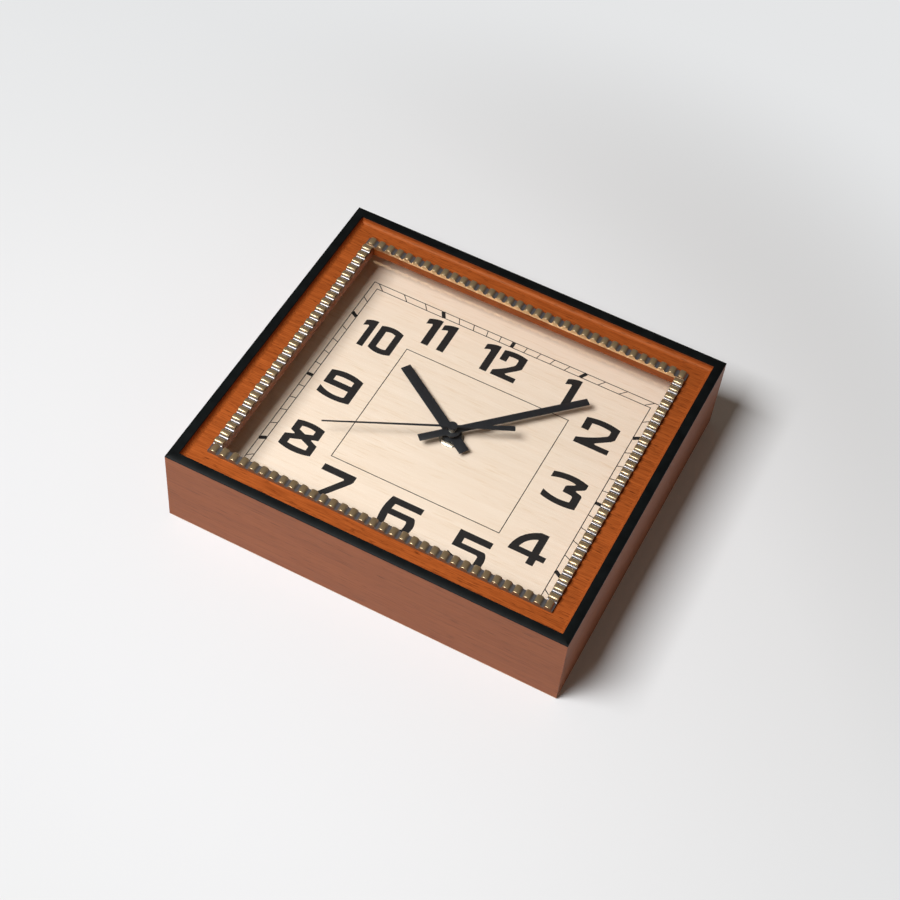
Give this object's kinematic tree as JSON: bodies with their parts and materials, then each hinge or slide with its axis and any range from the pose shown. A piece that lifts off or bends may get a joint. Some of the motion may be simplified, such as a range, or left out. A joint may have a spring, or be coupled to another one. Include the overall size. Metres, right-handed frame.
{
  "type": "desk clock",
  "caption": "Rectangular wooden desk clock with black front edges, ribbed brass trim round the glass, pale wooden dial, bar hands and a battery quartz movement.",
  "frame": {"origin": "centre of the case's rear edge plane, where the clock lies on its back as pictured", "axes": "+Z out of the dial, +Y to twelve o'clock, +X to three o'clock"},
  "size_m": [0.2, 0.18, 0.045],
  "materials": {
    "side_veneer": "satin open-grained reddish-brown veneer",
    "black_edging": "black stained edge, satin",
    "lacquered_fascia": "glossy orange-brown lacquered veneer",
    "antique_brass": "aged brass, dark in the valleys",
    "glass": "clear",
    "pine": "planed softwood",
    "pale_dial": "pale satin veneer",
    "hardboard": "smooth brown hardboard",
    "zinc_steel": "zinc plated",
    "black_plastic": "moulded, matte",
    "white_plastic": "moulded acetal",
    "knob_plastic": "moulded, matte",
    "rubber": "moulded",
    "nickel": "polished nickel",
    "battery_wrap": null,
    "circuit_laminate": "solder mask",
    "crystal_can": "drawn can",
    "copper_wire": "enamelled copper wire",
    "magnet": "sintered",
    "black_hand": "black painted aluminium, matte"
  },
  "bodies": {
    "case": {"case_top": "side_veneer", "edging_top": "black_edging", "trim_top": "antique_brass", "bead_top": "pine", "batten_top": "pine", "case_bottom": "side_veneer", "edging_bottom": "black_edging", "trim_bottom": "antique_brass", "bead_bottom": "pine", "batten_bottom": "pine", "case_left": "side_veneer", "edging_left": "black_edging", "trim_left": "antique_brass", "bead_left": "pine", "batten_left": "pine", "case_right": "side_veneer", "edging_right": "black_edging", "trim_right": "antique_brass", "bead_right": "pine", "batten_right": "pine", "fascia": "lacquered_fascia", "glass": "glass", "dial_board": "pale_dial", "back_panel": "hardboard", "panel_screws": "zinc_steel", "movement_case": "black_plastic", "movement_cover": "black_plastic", "gasket": "rubber", "washer": "nickel", "nut": "nickel", "battery": "battery_wrap", "contact_negative": "zinc_steel", "contact_positive": "zinc_steel", "circuit_board": "circuit_laminate", "crystal": "crystal_can", "chip": "black_plastic", "coil_winding": "copper_wire", "coil_bobbin": "white_plastic", "motor_core": "zinc_steel", "stator": "zinc_steel"},
    "seconds": {"seconds_wheel": "white_plastic", "second_hand": "black_hand", "second_collet": "nickel"},
    "rotor": {"rotor_pinion": "white_plastic", "rotor_magnet": "magnet"},
    "intermediate": {"intermediate_wheel": "white_plastic"},
    "third": {"third_wheel": "white_plastic"},
    "centre": {"centre_wheel": "white_plastic"},
    "minutes": {"cannon_pinion": "white_plastic", "minute_hand": "black_hand"},
    "motion": {"motion_wheel": "white_plastic"},
    "hours": {"hour_wheel": "white_plastic", "hour_hand": "black_hand"},
    "setting": {"setting_knob": "knob_plastic"}
  },
  "joints": [
    {"name": "second_hand_turn", "type": "hinge", "parent": "case", "child": "seconds", "pos_m": [0, 0, 0.012], "axis": [0, 0, -1], "continuous": true},
    {"name": "rotor_turn", "type": "hinge", "parent": "case", "child": "rotor", "pos_m": [0.0094, 0.01027, 0.012], "axis": [0, 0, -1], "continuous": true},
    {"name": "intermediate_turn", "type": "hinge", "parent": "case", "child": "intermediate", "pos_m": [0.0042, 0.00727, 0.012], "axis": [0, 0, -1], "continuous": true},
    {"name": "third_turn", "type": "hinge", "parent": "case", "child": "third", "pos_m": [-0.01001, 0.00578, 0.012], "axis": [0, 0, -1], "continuous": true},
    {"name": "centre_turn", "type": "hinge", "parent": "case", "child": "centre", "pos_m": [0, 0, 0.012], "axis": [0, 0, -1], "continuous": true},
    {"name": "minute_hand_turn", "type": "hinge", "parent": "case", "child": "minutes", "pos_m": [0, 0, 0.012], "axis": [0, 0, -1], "continuous": true},
    {"name": "motion_turn", "type": "hinge", "parent": "case", "child": "motion", "pos_m": [0.009, 0, 0.012], "axis": [0, 0, -1], "continuous": true},
    {"name": "hour_hand_turn", "type": "hinge", "parent": "case", "child": "hours", "pos_m": [0, 0, 0.012], "axis": [0, 0, -1], "continuous": true},
    {"name": "setting_knob_turn", "type": "hinge", "parent": "case", "child": "setting", "pos_m": [0.018, 0, 0.012], "axis": [0, 0, -1], "continuous": true}
  ],
  "couplings": [
    {"joint": "intermediate_turn", "follows": "second_hand_turn", "ratio": -6},
    {"joint": "rotor_turn", "follows": "second_hand_turn", "ratio": 30},
    {"joint": "third_turn", "follows": "second_hand_turn", "ratio": -0.13333},
    {"joint": "centre_turn", "follows": "second_hand_turn", "ratio": 0.016667},
    {"joint": "motion_turn", "follows": "minute_hand_turn", "ratio": -0.33333},
    {"joint": "hour_hand_turn", "follows": "minute_hand_turn", "ratio": 0.083333},
    {"joint": "setting_knob_turn", "follows": "minute_hand_turn", "ratio": 1}
  ]
}
